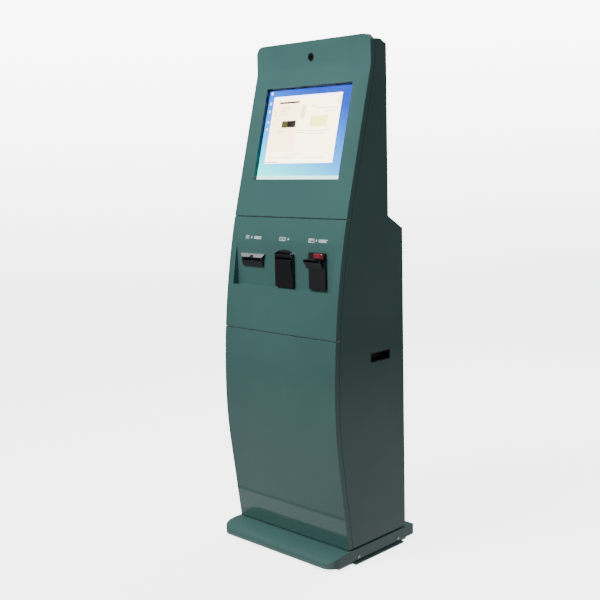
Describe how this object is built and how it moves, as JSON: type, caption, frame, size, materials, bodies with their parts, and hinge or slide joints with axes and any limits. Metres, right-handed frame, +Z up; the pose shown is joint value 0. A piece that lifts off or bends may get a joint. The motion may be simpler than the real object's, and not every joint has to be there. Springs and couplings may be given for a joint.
{
  "type": "payment kiosk",
  "caption": "Free-standing sheet-steel payment kiosk with a tilted touch display, receipt printer, bill acceptor, card reader, plinth and rear doors.",
  "frame": {"origin": "on the floor, at the centre of the footprint", "axes": "+Z up, the front faces -Y, +X is the right hand of a person facing the kiosk"},
  "size_m": [0.53, 0.427, 1.65],
  "materials": {
    "green_paint": "glossy powder coat",
    "green_dark_paint": "glossy powder coat, side panels",
    "galvanised": "zinc coated sheet",
    "stainless": "brushed",
    "black_plastic": "fine texture",
    "black_gloss": "polished",
    "glass": "clear",
    "display": "lit display face",
    "red_lamp": "translucent red",
    "rubber": "matte",
    "chrome": "polished",
    "paper": "smooth",
    "white_label": "printed",
    "grey_plastic": "moulded"
  },
  "bodies": {
    "cabinet": {"acceptor_bezel": "black_gloss", "acceptor_body": "black_plastic", "base_beams": "galvanised", "base_gasket": "rubber", "base_plate": "galvanised", "computer_case": "black_plastic", "device_labels": "white_label", "device_panel": "green_paint", "device_shelf": "galvanised", "floor_angles": "green_dark_paint", "floor_plate": "galvanised", "frame_hinge_leaves": "stainless", "head_fascia": "green_paint", "hinge_pins": "chrome", "lcd_panel": "display", "left_grip_cup": "black_plastic", "left_side_panel": "green_dark_paint", "lower_front_panel": "green_paint", "middle_rail": "galvanised", "monitor_brackets": "galvanised", "monitor_housing": "galvanised", "plinth_cover": "green_paint", "plinth_screws": "chrome", "power_inlet": "black_plastic", "power_supply": "galvanised", "printer_bezel": "black_plastic", "printer_body": "galvanised", "printer_lip": "stainless", "reader_bezel": "black_plastic", "reader_body": "grey_plastic", "reader_lamp": "red_lamp", "rear_slope_panel": "green_dark_paint", "right_grip_cup": "black_plastic", "right_side_panel": "green_dark_paint", "roll_spindle": "grey_plastic", "screen_bezel": "black_plastic", "top_cover": "green_paint", "touch_glass": "glass", "upper_rail": "galvanised", "webcam_housing": "black_plastic", "webcam_lens": "black_gloss"},
    "lower_door": {"lower_rear_door": "green_dark_paint", "lower_door_leaves": "stainless", "lower_lock_barrel": "chrome", "fan_frame": "black_plastic"},
    "upper_door": {"upper_rear_door": "green_dark_paint", "upper_door_leaves": "stainless", "upper_lock_barrel": "chrome"},
    "lower_cam": {"lower_lock_cam": "chrome"},
    "upper_cam": {"upper_lock_cam": "chrome"},
    "fan": {"fan_rotor": "black_plastic"},
    "paper_lid": {"printer_lid": "grey_plastic"},
    "roll": {"paper_roll": "paper"},
    "platen": {"platen_roller": "rubber"},
    "feed_key": {"feed_button": "grey_plastic"},
    "stacker": {"cash_box": "black_plastic"},
    "upper_feed": {"upper_feed_roller": "rubber"},
    "lower_feed": {"lower_feed_roller": "rubber"},
    "power_key": {"power_button": "chrome"},
    "rocker": {"rocker_switch": "black_gloss"}
  },
  "joints": [
    {"name": "lower_door_hinge", "type": "hinge", "parent": "cabinet", "child": "lower_door", "pos_m": [-0.227, 0.1693, 0.5735], "axis": [0, 0, 1], "range_deg": [0, 110]},
    {"name": "upper_door_hinge", "type": "hinge", "parent": "cabinet", "child": "upper_door", "pos_m": [-0.227, 0.0979, 1.35], "axis": [0, 0, 1], "range_deg": [0, 110]},
    {"name": "lower_lock_turn", "type": "hinge", "parent": "lower_door", "child": "lower_cam", "pos_m": [0.204, 0.165, 0.5735], "axis": [0, 1, 0], "range_deg": [0, 90]},
    {"name": "upper_lock_turn", "type": "hinge", "parent": "upper_door", "child": "upper_cam", "pos_m": [0.204, 0.0936, 1.352], "axis": [0, 1, 0], "range_deg": [0, 90]},
    {"name": "fan_spin", "type": "hinge", "parent": "lower_door", "child": "fan", "pos_m": [0.12, 0.153, 0.76], "axis": [0, 1, 0], "continuous": true},
    {"name": "paper_lid_hinge", "type": "hinge", "parent": "cabinet", "child": "paper_lid", "pos_m": [-0.143, 0.066, 0.969], "axis": [-1, 0, 0], "range_deg": [0, 80]},
    {"name": "roll_spin", "type": "hinge", "parent": "cabinet", "child": "roll", "pos_m": [-0.143, 0.024, 0.899], "axis": [1, 0, 0], "continuous": true},
    {"name": "platen_spin", "type": "hinge", "parent": "cabinet", "child": "platen", "pos_m": [-0.143, -0.09656, 0.9468], "axis": [1, 0, 0], "continuous": true},
    {"name": "feed_key_press", "type": "slide", "parent": "cabinet", "child": "feed_key", "axis": [0, 0, -1], "range_m": [0, 0.002], "stiffness_N_per_m": 300, "springref_m": -0.001},
    {"name": "stacker_slide", "type": "slide", "parent": "cabinet", "child": "stacker", "axis": [0, 1, 0], "range_m": [0, 0.06]},
    {"name": "upper_feed_spin", "type": "hinge", "parent": "cabinet", "child": "upper_feed", "pos_m": [0.005, -0.066, 0.97115], "axis": [1, 0, 0], "continuous": true},
    {"name": "lower_feed_spin", "type": "hinge", "parent": "cabinet", "child": "lower_feed", "pos_m": [0.005, -0.066, 0.95685], "axis": [1, 0, 0], "continuous": true},
    {"name": "power_key_press", "type": "slide", "parent": "cabinet", "child": "power_key", "axis": [0, -1, 0], "range_m": [0, 0.002], "stiffness_N_per_m": 400, "springref_m": -0.001},
    {"name": "rocker_tip", "type": "hinge", "parent": "cabinet", "child": "rocker", "pos_m": [-0.074, 0.162, 0.081], "axis": [1, 0, 0], "range_deg": [0, 16]}
  ],
  "couplings": [
    {"joint": "platen_spin", "follows": "roll_spin", "ratio": 6.6667},
    {"joint": "lower_feed_spin", "follows": "upper_feed_spin", "ratio": -1}
  ]
}
